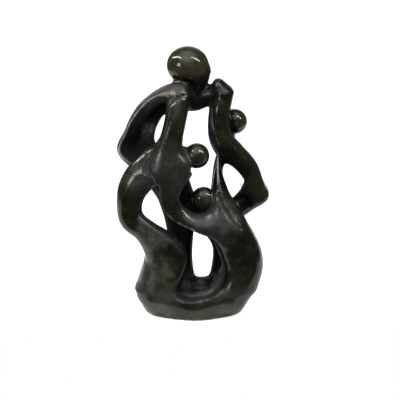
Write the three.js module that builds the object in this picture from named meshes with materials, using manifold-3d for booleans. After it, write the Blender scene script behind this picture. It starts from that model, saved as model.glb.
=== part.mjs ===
// A family group carved from one piece of dark polished stone: a parent bends over, with both raised
// arms meeting at a round head, and three smaller heads sit in the hollows between the limbs.
// Millimetres, +Z up. The front faces -Y, and the origin is under the middle of the flat underside.
import * as THREE from "three";
import { mergeVertices } from "three/addons/utils/BufferGeometryUtils.js";
import Module from "manifold-3d";

const wasm = await Module();
wasm.setup();

// Overall size and fineness
const height = 403; // from the table to the top of the parent's head
const gridStep = 3.6; // spacing of the points where the stone is tested
const faceCount = 9500; // triangles kept once the surface is thinned
const reach = 30; // beyond this distance a form has no say
const sections = 5; // cross-sections that a limb gets for each row
const corners = 4; // points that an opening's outline gets for each row
const leastHalf = 0.8; // least half width or half depth of a limb
const searchLow = [-124, -76, -30]; // corners of the box in which the stone is looked for
const searchHigh = [126, 76, 412];

// Widths over which two forms run into each other, from a crease to a broad flow
const crease = 2;
const fold = 6;
const fillet = 10;
const sweep = 14;
const swell = 24;
const flow = 30;
const rim = 5; // where a hollow's wall meets the outer skin
const softRim = 6; // the same for the right arm's hollow and window

// Each row is one cross-section of a limb: x, y and z of its centre, half width, half depth, and
// squareness, where 2 is an ellipse, more is boxier and less is more pointed.

// The parent's body from shoulder to waist, and the band that crosses to the other side
const torsoRows = [
  [-15, -5, 343, 14, 15, 2.1],
  [-18, -17, 327, 17, 19, 2.2],
  [-23, -28, 298, 16, 19, 2.4],
  [-29, -34, 271, 17, 19, 2.4],
  [-33, -37, 250, 23, 21, 2.4],
  [-29, -38, 224, 33, 23, 2.4],
  [-31, -36, 201, 22, 22, 2.8],
  [-32, -34, 184, 18, 21, 2.8],
  [-30, -33, 170, 18, 21, 2.8],
  [-18, -33, 153, 20, 22, 2.3],
  [5, -35, 141, 20, 25, 1.9],
  [33, -34, 137, 27, 26, 1.9],
  [53, -29, 130, 28, 29, 2.2],
];
// The pointed fin above the right-hand mass
const finRows = [
  [39, -18, 248, 2, 5, 1.5],
  [39, -22, 222, 6, 13, 1.5],
  [40, -26, 200, 12, 19, 1.6],
  [42, -28, 180, 18, 25, 1.8],
  [49, -27, 150, 27, 30, 2],
];
const rightMassRows = [
  [49, -24, 167, 16, 22, 2.3],
  [55, -20, 138, 25, 30, 2.6],
  [65, -14, 110, 32, 38, 2.8],
  [76, -8, 82, 32, 45, 2.8],
  [73, -5, 56, 30, 49, 2.7],
  [58, -3, 28, 28, 51, 2.3],
];
const leftMassRows = [
  [-48, -26, 227, 33, 22, 2.3],
  [-69, -26, 211, 30, 24, 2.3],
  [-84, -24, 190, 26, 25, 2.4],
  [-90, -21, 166, 21, 25, 2.4],
  [-86, -20, 149, 21, 27, 2.4],
  [-69, -20, 135, 21, 30, 2.4],
  [-53, -17, 118, 26, 34, 2.6],
  [-38, -13, 97, 36, 40, 2.8],
  [-36, -9, 74, 37, 45, 2.7],
  [-46, -5, 50, 34, 49, 2.5],
  [-50, -3, 34, 33, 51, 2.3],
];
const massEnd = 0.7; // length of a mass's rounded lower end, over its half width
// The foot: its lowest row lies under the flat underside, which cuts it off
const footRows = [
  [11, 0, -12, 62, 56, 1.7],
  [9.5, 0, 0, 68, 60, 1.7],
  [6, 0, 12, 74, 62, 1.8],
  [4, 0, 22, 79, 61, 2],
  [4, 0, 31, 81, 57, 2.2],
];
const footTop = 0.18; // height of the foot's rounded top, over its half depth
// The low lip across the front of the foot
const frontLipRows = [
  [-45, -26, 24, 18, 28, 2.6],
  [-15, -33, 24, 16, 25, 2.6],
  [20, -33, 24, 16, 25, 2.6],
  [50, -25, 26, 18, 28, 2.6],
];
const neckRows = [
  [10, 2, 365, 19.5, 25, 2],
  [10, 3, 354, 16, 22, 2],
  [7, 5, 341, 12, 18, 2],
  [5, 7, 318, 9, 14, 2],
];
// The bar that joins the raised arms behind the neck
const yokeRows = [
  [-14, -8, 326, 17, 15, 2.2],
  [6, 4, 319.5, 12.5, 16, 2.4],
  [27, 3, 330, 15, 17, 2.4],
  [42, -3, 332, 15, 18, 2.2],
];
// The upper arm on the left, bent over its deep hollow
const leftArmRows = [
  [-9, -6, 334, 20.5, 20, 2.4],
  [-27, 0, 330, 17, 29, 2.4],
  [-43, 6, 317, 21, 35, 2.4],
  [-58, 10, 300, 25, 38, 2.4],
  [-70, 12, 282, 25, 38, 2.4],
  [-75, 14, 264, 27, 36, 2.4],
  [-78, 15, 245, 31, 34, 2.4],
];
const leftArmEnd = 0.4; // length of the upper arm's rounded end, over its half width
// That arm's inner end, over the body
const shoulderRows = [
  [-46, 1, 318, 14, 27, 2.2],
  [-30, -6, 327, 16, 25, 2.1],
  [-16, -12, 326, 15, 20, 2],
];
const leftForearmRows = [
  [-80, 17, 249, 30, 27, 2.3],
  [-62, 26, 228, 28, 21, 2.2],
  [-37, 36, 192, 25, 16, 2.2],
];
const rightArmRows = [
  [47.5, -5, 336, 15, 23, 2.2],
  [46, -5, 325, 15, 24, 2.3],
  [42.5, -6, 310, 16, 26, 2.2],
  [41, -6, 282, 16.5, 26, 2.2],
  [46, -6, 263, 18, 26, 2.2],
  [62, -3, 241, 20, 26, 2.2],
  [79, 1, 219, 21, 26, 2.2],
  [90, 4, 197, 18.5, 25, 2.4],
  [97, 7, 177, 16, 24, 2.8],
];
// The right arm's blunt upper end
const rightHandRows = [
  [40.5, -4, 346.5, 9.5, 19, 2],
  [49.5, -5, 337, 11, 22, 2.1],
];
const rightArmEnd = 0.4; // the same for the other arm
const rightForearmRows = [
  [95.5, 8, 180, 19, 24, 3.2],
  [82, 10, 169, 18, 22, 2.4],
  [52, 6, 147, 17, 18, 2.2],
];
// The body of the child that looks out behind the right arm
const childBodyRows = [
  [57, 18, 264, 7, 12, 2.2],
  [53, 17, 245, 13, 13, 2.2],
  [42, 10, 219, 9, 12, 2.2],
  [43, 0, 177, 15, 18, 2.2],
];
const backLegRows = [
  [-37, 34, 203, 26, 15, 2.6],
  [-25, 39, 168, 25, 15, 2.6],
  [-18, 43, 133, 22, 14, 2.6],
  [-17, 44, 92, 18, 14, 2.6],
  [-18, 41, 52, 18, 17, 2.6],
  [-18, 36, 30, 20, 20, 2.6],
];
const backStrutRows = [
  [-22, 36, 196, 15, 12, 2.6],
  [-7, 40, 164, 13, 12, 2.6],
  [28, 44, 120, 12, 11, 2.6],
  [46, 44, 92, 13, 12, 2.6],
  [47, 41, 54, 14, 15, 2.6],
  [45, 36, 33, 17, 18, 2.6],
];
// The low bar between the feet of the back leg and the back strut
const backSillRows = [
  [-13, 40, 60, 12, 16, 2.4],
  [-5, 41, 32, 12, 17, 2.4],
  [15, 42, 23, 12, 17, 2.4],
  [38, 42, 32, 12, 16, 2.4],
  [48, 41, 60, 12, 15, 2.4],
];
const upperChildNeckRows = [
  [-18, -30, 244, 16, 15, 2],
  [0, -20, 244, 12, 12, 2],
];
const outerChildNeckRows = [
  [63, 18, 282, 8, 12, 2],
  [57, 15, 262, 5, 9, 2],
];
// The hollow inner face of the right arm, cut away by a limb of its own
const armHollowRows = [
  [21, -26, 333, 8, 14, 2.2],
  [18, -27, 312, 12, 19, 2.2],
  [19, -27, 292, 12, 20, 2.2],
  [27, -29, 270, 9, 17, 2.2],
  [37, -31, 253, 4, 9, 2],
];

// Heads: centre and radii
const parentHead = { centre: [-5, 2, 374.5], radii: [31, 29, 28.2] };
const upperChildHead = { centre: [8, -27, 244.4], radii: [18.8, 18.8, 18.8] };
const lowerChildHead = { centre: [18, -32, 181], radii: [17.7, 17.7, 17.7] };
const outerChildHead = { centre: [64.8, 18, 288], radii: [18.9, 18.9, 18.9] };

// Each opening is cut from front to back. A row is one point of its outline: x and z at its mouth,
// then x and z at its far end.
const frontOpening = {
  mouth: -58,
  end: 30,
  rows: [
    [-49, 206, -51, 187],
    [-66, 191, -69, 172],
    [-75, 172, -73, 155],
    [-72, 158, -70, 143],
    [-52, 143, -53, 129],
    [-25, 129, -35, 115],
    [-4, 111, -30, 92],
    [-2, 90, -30, 66],
    [-12, 66, -28, 46],
    [-22, 48, -24, 34],
    [-19, 34, -14, 28],
    [1, 30, 1, 26],
    [28, 36, 23, 28],
    [45, 51, 37, 37],
    [52, 76, 40, 58],
    [46, 99, 37, 84],
    [31, 124, 24, 111],
    [10, 134, 6, 119],
    [-17, 147, -17, 133],
    [-38, 163, -38, 151],
    [-46, 183, -46, 169],
  ],
};
const cradle = {
  mouth: -62,
  end: 24,
  rows: [
    [1, 233, -5, 213],
    [3, 223, -3, 205],
    [-8, 209, -9, 192],
    [-19, 190, -16, 171],
    [-16, 179, -13, 160],
    [-8, 171, -5, 154],
    [13, 162, 13, 150],
    [28, 180, 26, 165],
    [32, 221, 33, 203],
    [38, 262, 39, 246],
    [20, 260, 21, 244],
  ],
};
const leftArmHollow = {
  mouth: -36,
  end: 22,
  rows: [
    [-31, 328, -36, 311],
    [-46, 338, -46, 312],
    [-62, 335, -56, 304],
    [-84, 321, -64, 293],
    [-107, 298, -74, 274],
    [-123, 283, -79, 262],
    [-144, 270, -82, 252],
    [-148, 253, -82, 243],
    [-142, 233, -76, 236],
    [-122, 219, -66, 232],
    [-72, 222, -54, 238],
    [-47, 255, -40, 252],
    [-35, 295, -34, 285],
  ],
};
const leftArmWindow = {
  mouth: -60,
  end: 80,
  rows: [
    [-37, 310, -40, 287],
    [-47, 298, -50, 274],
    [-52, 280, -56, 255],
    [-50, 268, -54, 244],
    [-40, 265, -43, 240],
    [-28, 290, -30, 266],
  ],
};
const rightArmWindow = {
  mouth: -10,
  end: 70,
  rows: [
    [52, 230, 54, 214],
    [47, 216, 49, 199],
    [54, 192, 56, 175],
    [61, 178, 63, 160],
    [75, 195, 78, 177],
    [78, 206, 81, 190],
    [65, 223, 67, 207],
  ],
};

// A smooth run through rows of numbers, whatever a row holds. It passes through every row.
function smoothRun(rows, steps, looped) {
  const count = rows.length;
  const beyond = (end, next) => end.map((value, k) => 2 * value - next[k]);
  const row = (i) => {
    if (looped) return rows[(i + count) % count];
    if (i < 0) return beyond(rows[0], rows[1]);
    if (i >= count) return beyond(rows[count - 1], rows[count - 2]);
    return rows[i];
  };
  const run = [];
  for (let i = 0; i < (looped ? count : count - 1); i++) {
    const [a, b, c, d] = [row(i - 1), row(i), row(i + 1), row(i + 2)];
    for (let j = 0; j < steps; j++) {
      const t = j / steps;
      run.push(b.map((value, k) => {
        const first = (c[k] - a[k]) * t;
        const second = (2 * a[k] - 5 * value + 4 * c[k] - d[k]) * t * t;
        const third = (3 * value - a[k] - 3 * c[k] + d[k]) * t * t * t;
        return 0.5 * (2 * value + first + second + third);
      }));
    }
  }
  if (!looped) run.push(rows[count - 1]);
  return run;
}

// Each form below is a function of a point. It gives the distance to the form's surface, negative
// inside it, and never more than the reach.

function limb(rows, endLength = 1) {
  const run = smoothRun(rows, sections, false);
  const centres = run.map((r) => new THREE.Vector3(r[0], r[1], r[2]));
  const last = run.length - 1;
  const depthWay = new THREE.Vector3(0, 1, 0);
  const stations = run.map((r, i) => {
    const before = centres[Math.max(i - 1, 0)];
    const after = centres[Math.min(i + 1, last)];
    const along = after.clone().sub(before).normalize();
    const across = new THREE.Vector3().crossVectors(along, depthWay).normalize();
    const deep = new THREE.Vector3().crossVectors(across, along);
    return [...r, ...across.toArray(), ...deep.toArray()];
  });
  const box = new THREE.Box3();
  run.forEach((r, i) => {
    const size = Math.max(r[3], r[4]) + reach;
    box.expandByPoint(centres[i].clone().addScalar(size));
    box.expandByPoint(centres[i].clone().addScalar(-size));
  });
  const at = new Array(12);
  return (x, y, z) => {
    if (x < box.min.x || y < box.min.y || z < box.min.z) return reach;
    if (x > box.max.x || y > box.max.y || z > box.max.z) return reach;
    let nearest = Infinity;
    let segment = 0;
    let part = 0;
    let past = 0;
    for (let i = 0; i < last; i++) {
      const a = stations[i];
      const b = stations[i + 1];
      const [ex, ey, ez] = [b[0] - a[0], b[1] - a[1], b[2] - a[2]];
      const [qx, qy, qz] = [x - a[0], y - a[1], z - a[2]];
      const length2 = ex * ex + ey * ey + ez * ez;
      const free = (qx * ex + qy * ey + qz * ez) / length2;
      const t = Math.min(Math.max(free, 0), 1);
      const [rx, ry, rz] = [qx - t * ex, qy - t * ey, qz - t * ez];
      const gap = rx * rx + ry * ry + rz * rz;
      if (gap >= nearest) continue;
      nearest = gap;
      segment = i;
      part = t;
      past = 0;
      if ((i === 0 && free < 0) || (i === last - 1 && free > 1)) past = (free - t) * Math.sqrt(length2);
    }
    const a = stations[segment];
    const b = stations[segment + 1];
    for (let k = 0; k < 12; k++) at[k] = a[k] + (b[k] - a[k]) * part;
    const [qx, qy, qz] = [x - at[0], y - at[1], z - at[2]];
    const wide = Math.max(at[3], leastHalf);
    const deep = Math.max(at[4], leastHalf);
    const power = at[5];
    const cap = endLength * Math.min(wide, deep);
    const u = Math.abs(qx * at[6] + qy * at[7] + qz * at[8]) / wide;
    const v = Math.abs(qx * at[9] + qy * at[10] + qz * at[11]) / deep;
    const w = Math.abs(past) / cap;
    const size = (u ** power + v ** power + w ** power + 1e-12) ** (1 / power);
    const slopes = [u ** (power - 1) / wide, v ** (power - 1) / deep, w ** (power - 1) / cap];
    const slope = Math.hypot(...slopes) * size ** (1 - power);
    return Math.min((size - 1) / Math.max(slope, 0.5 / Math.max(wide, deep)), reach);
  };
}

function ball({ centre, radii }) {
  return (x, y, z) => {
    const q = [x - centre[0], y - centre[1], z - centre[2]];
    const size = Math.hypot(...q.map((value, k) => value / radii[k]));
    const slope = Math.hypot(...q.map((value, k) => value / radii[k] ** 2)) / Math.max(size, 1e-6);
    return Math.min((size - 1) / Math.max(slope, 0.5 / Math.max(...radii)), reach);
  };
}

function opening({ mouth, end, rows }) {
  const run = smoothRun(rows, corners, true);
  const xs = run.flatMap((r) => [r[0], r[2]]);
  const zs = run.flatMap((r) => [r[1], r[3]]);
  const [left, right] = [Math.min(...xs) - reach, Math.max(...xs) + reach];
  const [low, high] = [Math.min(...zs) - reach, Math.max(...zs) + reach];
  return (x, y, z) => {
    if (x < left || x > right || z < low || z > high || y > end + reach) return reach;
    const t = Math.min(Math.max((y - mouth) / (end - mouth), 0), 1);
    let nearest = Infinity;
    let inside = false;
    const before = run[run.length - 1];
    let ax = before[0] + t * (before[2] - before[0]);
    let az = before[1] + t * (before[3] - before[1]);
    for (const r of run) {
      const bx = r[0] + t * (r[2] - r[0]);
      const bz = r[1] + t * (r[3] - r[1]);
      const [ex, ez] = [bx - ax, bz - az];
      const [qx, qz] = [x - ax, z - az];
      const s = Math.min(Math.max((qx * ex + qz * ez) / (ex * ex + ez * ez + 1e-9), 0), 1);
      nearest = Math.min(nearest, (qx - s * ex) ** 2 + (qz - s * ez) ** 2);
      if (az > z !== bz > z && x < ax + (qz * ex) / ez) inside = !inside;
      ax = bx;
      az = bz;
    }
    const wall = Math.sqrt(nearest) * (inside ? -1 : 1);
    return Math.min(Math.max(wall, y - end), reach);
  };
}

// Two forms joined, or one cut by the other, with a rounding of the given width between them.
function join(a, b, width) {
  const overlap = Math.max(width - Math.abs(a - b), 0) / width;
  return Math.min(a, b) - (overlap ** 3 * width) / 6;
}
const cut = (a, b, width) => -join(-a, b, width);

const forms = {
  torso: limb(torsoRows),
  fin: limb(finRows),
  rightMass: limb(rightMassRows, massEnd),
  leftMass: limb(leftMassRows, massEnd),
  foot: limb(footRows, footTop),
  frontLip: limb(frontLipRows),
  neck: limb(neckRows),
  yoke: limb(yokeRows),
  leftArm: limb(leftArmRows, leftArmEnd),
  shoulder: limb(shoulderRows),
  leftForearm: limb(leftForearmRows),
  rightArm: limb(rightArmRows, rightArmEnd),
  rightHand: limb(rightHandRows),
  rightForearm: limb(rightForearmRows),
  childBody: limb(childBodyRows),
  backLeg: limb(backLegRows),
  backStrut: limb(backStrutRows),
  backSill: limb(backSillRows),
  upperChildNeck: limb(upperChildNeckRows),
  outerChildNeck: limb(outerChildNeckRows),
  armHollow: limb(armHollowRows),
  parentHead: ball(parentHead),
  upperChildHead: ball(upperChildHead),
  lowerChildHead: ball(lowerChildHead),
  outerChildHead: ball(outerChildHead),
  frontOpening: opening(frontOpening),
  cradle: opening(cradle),
  leftArmHollow: opening(leftArmHollow),
  leftArmWindow: opening(leftArmWindow),
  rightArmWindow: opening(rightArmWindow),
};

// The whole carving at one point.
function stone(x, y, z) {
  const at = (name) => forms[name](x, y, z);
  let body = join(at("torso"), at("leftMass"), flow);
  body = join(body, join(at("rightMass"), at("fin"), fillet), swell);
  body = join(body, join(at("foot"), at("frontLip"), fillet), swell);
  body = cut(body, at("frontOpening"), rim);
  body = cut(body, at("cradle"), rim);

  let arms = join(at("leftArm"), at("leftForearm"), sweep);
  arms = join(arms, at("shoulder"), sweep);
  arms = join(arms, at("yoke"), fillet);
  arms = cut(arms, at("leftArmHollow"), rim);
  arms = join(arms, at("neck"), fillet);
  arms = join(arms, at("parentHead"), fold);
  const rightArm = join(join(at("rightArm"), at("rightHand"), fillet), at("rightForearm"), fillet);
  arms = join(arms, cut(rightArm, at("armHollow"), softRim), fold);
  arms = join(arms, at("childBody"), fillet);

  const back = join(join(at("backLeg"), at("backStrut"), sweep), at("backSill"), fillet);
  arms = join(arms, back, sweep);
  body = join(body, back, sweep);
  arms = cut(arms, at("leftArmWindow"), sweep);
  arms = cut(arms, at("rightArmWindow"), softRim);

  let whole = join(body, arms, fold);
  whole = join(whole, at("upperChildNeck"), fold);
  whole = join(whole, at("upperChildHead"), crease);
  whole = join(whole, at("lowerChildHead"), crease);
  whole = join(whole, at("outerChildNeck"), fold);
  return join(whole, at("outerChildHead"), crease);
}

// The surface where a form's distance is nought, as a closed skin of triangles. Each cube of the grid
// is split into six tetrahedra about one diagonal, and each of those is crossed by one flat piece.
function skin(form, low, high, step) {
  const counts = high.map((value, k) => Math.ceil((value - low[k]) / step) + 1);
  const [nx, ny, nz] = counts;
  const place = (i, j, k) => [low[0] + i * step, low[1] + j * step, low[2] + k * step];
  const values = new Float64Array(nx * ny * nz);
  for (let k = 0, n = 0; k < nz; k++)
    for (let j = 0; j < ny; j++)
      for (let i = 0; i < nx; i++, n++) values[n] = form(...place(i, j, k));

  const points = [];
  const known = new Map();
  const total = nx * ny * nz;
  function crossing(a, b) {
    const [from, to] = a < b ? [a, b] : [b, a];
    const key = from * total + to;
    if (known.has(key)) return known.get(key);
    const free = values[from] / (values[from] - values[to]);
    const t = Math.min(Math.max(free, 0.05), 0.95); // keeps neighbouring points apart
    const spot = (n) => place(n % nx, Math.floor(n / nx) % ny, Math.floor(n / (nx * ny)));
    const [start, stop] = [spot(from), spot(to)];
    points.push(start.map((value, k) => value + t * (stop[k] - value)));
    known.set(key, points.length - 1);
    return points.length - 1;
  }

  const triangles = [];
  function split(corners) {
    const inside = corners.filter((c) => values[c] < 0);
    const outside = corners.filter((c) => values[c] >= 0);
    if (!inside.length || !outside.length) return;
    const faces = [];
    if (inside.length === 2) {
      const [a, b] = inside;
      const [c, d] = outside;
      const ring = [crossing(a, c), crossing(a, d), crossing(b, d), crossing(b, c)];
      faces.push([ring[0], ring[1], ring[2]], [ring[0], ring[2], ring[3]]);
    } else {
      const [lone, others] = inside.length === 1 ? [inside[0], outside] : [outside[0], inside];
      faces.push(others.map((c) => crossing(lone, c)));
    }
    const spot = (n) => new THREE.Vector3(n % nx, Math.floor(n / nx) % ny, Math.floor(n / (nx * ny)));
    const outward = new THREE.Vector3();
    for (const c of outside) outward.addScaledVector(spot(c), 1 / outside.length);
    for (const c of inside) outward.addScaledVector(spot(c), -1 / inside.length);
    for (const [a, b, c] of faces) {
      const [pa, pb, pc] = [a, b, c].map((n) => new THREE.Vector3(...points[n]));
      const facing = pb.sub(pa).cross(pc.sub(pa)).dot(outward);
      triangles.push(facing > 0 ? [a, b, c] : [a, c, b]);
    }
  }

  const [dx, dy, dz] = [1, nx, nx * ny];
  const turns = [[dx, dy, dz], [dx, dz, dy], [dy, dx, dz], [dy, dz, dx], [dz, dx, dy], [dz, dy, dx]];
  for (let k = 0; k < nz - 1; k++)
    for (let j = 0; j < ny - 1; j++)
      for (let i = 0; i < nx - 1; i++) {
        const first = i + j * nx + k * nx * ny;
        for (const [a, b, c] of turns) split([first, first + a, first + a + b, first + a + b + c]);
      }
  return { points, triangles };
}

// The skin thinned to a number of triangles. The edge whose loss moves the surface least goes first,
// judged by the squared distance from the planes that meet at its ends.
function thin({ points, triangles }, target) {
  const quadrics = points.map(() => new Float64Array(10));
  const around = points.map(() => new Set());
  const stamps = new Int32Array(points.length);
  let alive = triangles.length;

  const normalOf = (a, b, c) => {
    const [px, py, pz] = a;
    const [ux, uy, uz] = [b[0] - px, b[1] - py, b[2] - pz];
    const [vx, vy, vz] = [c[0] - px, c[1] - py, c[2] - pz];
    return [uy * vz - uz * vy, uz * vx - ux * vz, ux * vy - uy * vx];
  };
  triangles.forEach((face, index) => {
    const [a, b, c] = face.map((n) => points[n]);
    const normal = normalOf(a, b, c);
    const size = Math.hypot(...normal);
    const [x, y, z] = normal.map((value) => value / size);
    const w = -(x * a[0] + y * a[1] + z * a[2]);
    const plane = [x * x, x * y, x * z, x * w, y * y, y * z, y * w, z * z, z * w, w * w];
    for (const n of face) {
      around[n].add(index);
      plane.forEach((value, k) => { quadrics[n][k] += value * size; });
    }
  });

  // The best place for the point that an edge shrinks to, drawn a little towards its middle.
  function merged(a, b) {
    const q = quadrics[a].map((value, k) => value + quadrics[b][k]);
    const middle = points[a].map((value, k) => (value + points[b][k]) / 2);
    const pull = 1e-3 * (q[0] + q[4] + q[7]) + 1e-9;
    const [xx, xy, xz, yy, yz, zz] = [q[0] + pull, q[1], q[2], q[4] + pull, q[5], q[7] + pull];
    const right = [q[3], q[6], q[8]].map((value, k) => pull * middle[k] - value);
    const [cx, cy, cz] = [yy * zz - yz * yz, xz * yz - xy * zz, xy * yz - xz * yy];
    const whole = xx * cx + xy * cy + xz * cz;
    const spot = [
      (cx * right[0] + cy * right[1] + cz * right[2]) / whole,
      (cy * right[0] + (xx * zz - xz * xz) * right[1] + (xy * xz - xx * yz) * right[2]) / whole,
      (cz * right[0] + (xy * xz - xx * yz) * right[1] + (xx * yy - xy * xy) * right[2]) / whole,
    ];
    const [x, y, z] = spot;
    const cost = q[0] * x * x + 2 * q[1] * x * y + 2 * q[2] * x * z + 2 * q[3] * x
      + q[4] * y * y + 2 * q[5] * y * z + 2 * q[6] * y + q[7] * z * z + 2 * q[8] * z + q[9];
    return { spot, cost };
  }

  const heap = [];
  const swap = (i, j) => { [heap[i], heap[j]] = [heap[j], heap[i]]; };
  function push(entry) {
    let i = heap.push(entry) - 1;
    while (i > 0 && heap[i].cost < heap[(i - 1) >> 1].cost) {
      swap(i, (i - 1) >> 1);
      i = (i - 1) >> 1;
    }
  }
  function pop() {
    swap(0, heap.length - 1);
    const top = heap.pop();
    let i = 0;
    while (2 * i + 1 < heap.length) {
      let child = 2 * i + 1;
      if (child + 1 < heap.length && heap[child + 1].cost < heap[child].cost) child++;
      if (heap[i].cost <= heap[child].cost) break;
      swap(i, child);
      i = child;
    }
    return top;
  }
  const offer = (a, b) => push({ a, b, stampA: stamps[a], stampB: stamps[b], ...merged(a, b) });
  const neighbours = (n) => {
    const found = new Set();
    for (const index of around[n]) for (const other of triangles[index]) if (other !== n) found.add(other);
    return found;
  };
  points.forEach((_, a) => { for (const b of neighbours(a)) if (a < b) offer(a, b); });

  const leastCosine = 0.35; // of the angle that a face may turn by, about 70 degrees
  const leastFatness = 0.06; // twice a face's area over its longest side squared, less being a sliver
  function spoils(n, other, spot) {
    for (const index of around[n]) {
      const face = triangles[index];
      if (face.includes(other)) continue;
      const old = face.map((m) => points[m]);
      const moved = face.map((m) => (m === n ? spot : points[m]));
      const [before, after] = [normalOf(...old), normalOf(...moved)];
      const size = Math.hypot(...after);
      const dot = before[0] * after[0] + before[1] * after[1] + before[2] * after[2];
      if (dot < leastCosine * size * Math.hypot(...before)) return true;
      const sides = moved.map((p, k) => Math.hypot(...p.map((value, m) => value - moved[(k + 1) % 3][m])));
      if (size < leastFatness * Math.max(...sides) ** 2) return true;
    }
    return false;
  }

  while (alive > target && heap.length) {
    const { a, b, stampA, stampB, spot } = pop();
    if (stamps[a] !== stampA || stamps[b] !== stampB) continue;
    const shared = neighbours(b);
    const both = [...neighbours(a)].filter((n) => shared.has(n));
    if (both.length !== 2 || spoils(a, b, spot) || spoils(b, a, spot)) continue;
    points[a] = spot;
    quadrics[b].forEach((value, k) => { quadrics[a][k] += value; });
    for (const index of around[b]) {
      const face = triangles[index];
      if (face.includes(a)) {
        for (const n of face) if (n !== b) around[n].delete(index);
        triangles[index] = null;
        alive--;
      } else {
        triangles[index] = face.map((n) => (n === b ? a : n));
        around[a].add(index);
      }
    }
    around[b] = new Set();
    stamps[a]++;
    stamps[b] = -1;
    for (const n of neighbours(a)) offer(a, n);
  }
  return { points, triangles: triangles.filter(Boolean) };
}

function solidOf(points, triangles) {
  const used = new Map();
  const positions = [];
  const indices = [];
  for (const n of triangles.flat()) {
    if (!used.has(n)) {
      used.set(n, used.size);
      positions.push(...points[n]);
    }
    indices.push(used.get(n));
  }
  return new wasm.Manifold(new wasm.Mesh({
    numProp: 3,
    vertProperties: new Float32Array(positions),
    triVerts: new Uint32Array(indices),
  }));
}

function slabBelowTable() {
  const [width, thickness] = [400, 100];
  const slab = new THREE.BoxGeometry(width, width, thickness).translate(0, 0, -thickness / 2);
  slab.deleteAttribute("normal");
  slab.deleteAttribute("uv");
  const closed = mergeVertices(slab);
  return new wasm.Manifold(new wasm.Mesh({
    numProp: 3,
    vertProperties: closed.attributes.position.array,
    triVerts: new Uint32Array(closed.index.array),
  }));
}

// The thinned skin with its flat underside, moved over the origin and brought to its full height.
function carvingGeometry() {
  const { points, triangles } = thin(skin(stone, searchLow, searchHigh, gridStep), faceCount);
  const mesh = solidOf(points, triangles).subtract(slabBelowTable()).getMesh();
  const geometry = new THREE.BufferGeometry();
  geometry.setAttribute("position", new THREE.BufferAttribute(mesh.vertProperties, 3));
  geometry.setIndex(new THREE.BufferAttribute(mesh.triVerts, 1));
  geometry.computeBoundingBox();
  const { min, max } = geometry.boundingBox;
  geometry.translate(-(min.x + max.x) / 2, -(min.y + max.y) / 2, 0);
  geometry.scale(height / max.z, height / max.z, height / max.z);
  geometry.computeVertexNormals();
  return geometry;
}

const polishedStone = new THREE.MeshStandardMaterial({ color: 0x2e322a, roughness: 0.22, metalness: 0 });
const carving = new THREE.Mesh(carvingGeometry(), polishedStone);
carving.name = "family_carving";

const sculpture = new THREE.Group();
sculpture.add(carving);

export default sculpture;
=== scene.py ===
import math

import bpy
import numpy as np
from mathutils import Matrix, Vector


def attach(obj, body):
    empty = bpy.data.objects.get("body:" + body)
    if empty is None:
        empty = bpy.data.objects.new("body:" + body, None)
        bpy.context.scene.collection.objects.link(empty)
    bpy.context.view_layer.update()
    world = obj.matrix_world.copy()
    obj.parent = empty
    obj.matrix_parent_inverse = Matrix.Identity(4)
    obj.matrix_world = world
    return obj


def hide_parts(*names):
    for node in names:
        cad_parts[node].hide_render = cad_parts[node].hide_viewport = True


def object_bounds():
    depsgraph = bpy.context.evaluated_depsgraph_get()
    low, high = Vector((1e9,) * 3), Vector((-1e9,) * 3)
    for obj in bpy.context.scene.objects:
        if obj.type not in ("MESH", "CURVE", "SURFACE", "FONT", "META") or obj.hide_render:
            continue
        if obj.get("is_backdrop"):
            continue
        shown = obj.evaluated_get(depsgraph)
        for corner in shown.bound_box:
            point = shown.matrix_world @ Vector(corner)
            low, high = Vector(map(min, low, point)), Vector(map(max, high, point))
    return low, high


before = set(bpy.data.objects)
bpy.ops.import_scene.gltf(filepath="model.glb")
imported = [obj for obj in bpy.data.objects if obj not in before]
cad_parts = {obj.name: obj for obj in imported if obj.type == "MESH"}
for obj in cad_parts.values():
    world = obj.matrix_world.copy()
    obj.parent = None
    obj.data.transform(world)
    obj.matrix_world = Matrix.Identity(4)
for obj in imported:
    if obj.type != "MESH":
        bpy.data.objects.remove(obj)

cadLow, cadHigh = (np.array(corner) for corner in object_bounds())
print("frame loaded, box", cadLow.round(4), cadHigh.round(4))


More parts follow.
